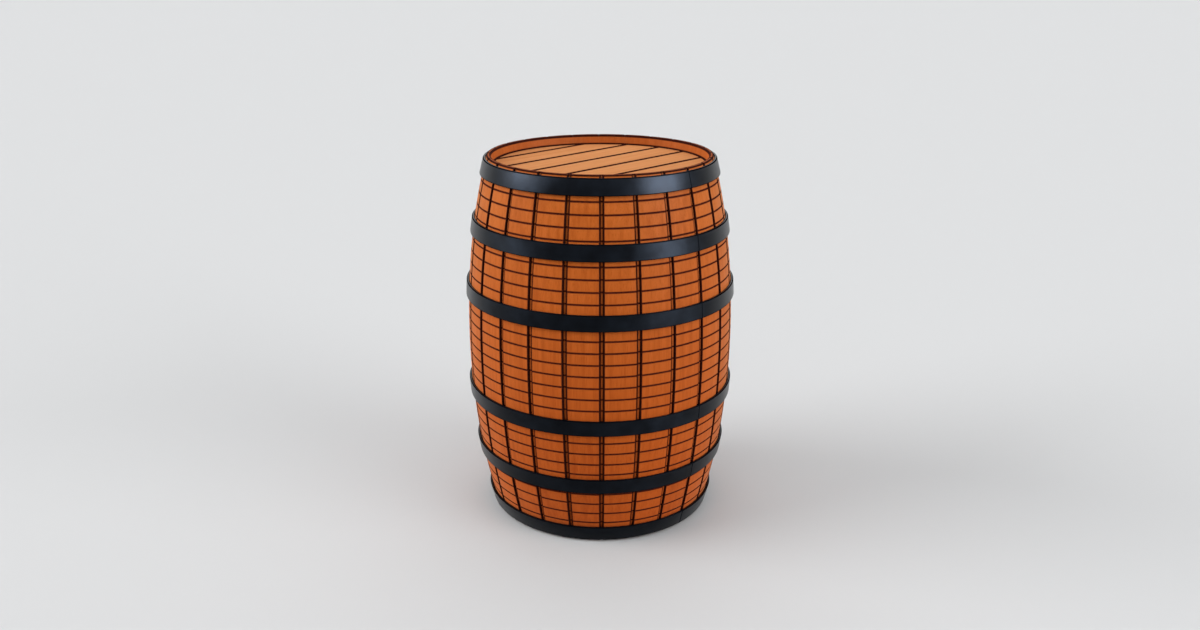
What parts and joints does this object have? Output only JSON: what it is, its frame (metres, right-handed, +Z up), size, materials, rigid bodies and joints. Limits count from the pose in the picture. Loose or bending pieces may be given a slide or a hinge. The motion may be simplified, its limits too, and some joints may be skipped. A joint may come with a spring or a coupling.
{
  "type": "wooden barrel",
  "caption": "Upright wooden barrel of bowed staves bound by dark steel hoops, with boarded heads set into crozes and a tapered bung in the bilge.",
  "frame": {"origin": "centre of the bottom end, in the plane that the barrel stands on", "axes": "+Z up along the barrel's axis, +Y outward along the bung's axis, -Y the side that the picture shows"},
  "size_m": [0.6658, 0.6658, 0.9],
  "materials": {
    "stave_oak": "satin",
    "head_oak": "satin",
    "hoop_steel": "satin",
    "bung_wood": "matte"
  },
  "bodies": {
    "cask": {"stave_01": "stave_oak", "stave_02": "stave_oak", "stave_03": "stave_oak", "stave_04": "stave_oak", "stave_05": "stave_oak", "stave_06": "stave_oak", "stave_07": "stave_oak", "stave_08": "stave_oak", "stave_09": "stave_oak", "stave_10": "stave_oak", "stave_11": "stave_oak", "stave_12": "stave_oak", "stave_13": "stave_oak", "stave_14": "stave_oak", "stave_15": "stave_oak", "stave_16": "stave_oak", "stave_17": "stave_oak", "stave_18": "stave_oak", "stave_19": "stave_oak", "stave_20": "stave_oak", "stave_21": "stave_oak", "stave_22": "stave_oak", "stave_23": "stave_oak", "stave_24": "stave_oak", "head_top_board_1": "head_oak", "head_top_board_2": "head_oak", "head_top_board_3": "head_oak", "head_top_board_4": "head_oak", "head_top_board_5": "head_oak", "head_top_board_6": "head_oak", "head_top_board_7": "head_oak", "head_bottom_board_1": "head_oak", "head_bottom_board_2": "head_oak", "head_bottom_board_3": "head_oak", "head_bottom_board_4": "head_oak", "head_bottom_board_5": "head_oak", "head_bottom_board_6": "head_oak", "head_bottom_board_7": "head_oak", "hoop_chime_bottom": "hoop_steel", "hoop_chime_top": "hoop_steel", "hoop_quarter_bottom": "hoop_steel", "hoop_quarter_top": "hoop_steel", "hoop_bilge_bottom": "hoop_steel", "hoop_bilge_top": "hoop_steel"},
    "bung": {"bung": "bung_wood"}
  },
  "joints": [
    {"name": "bung_pull", "type": "slide", "parent": "cask", "child": "bung", "axis": [0, 1, 0], "range_m": [0, 0.08]}
  ]
}
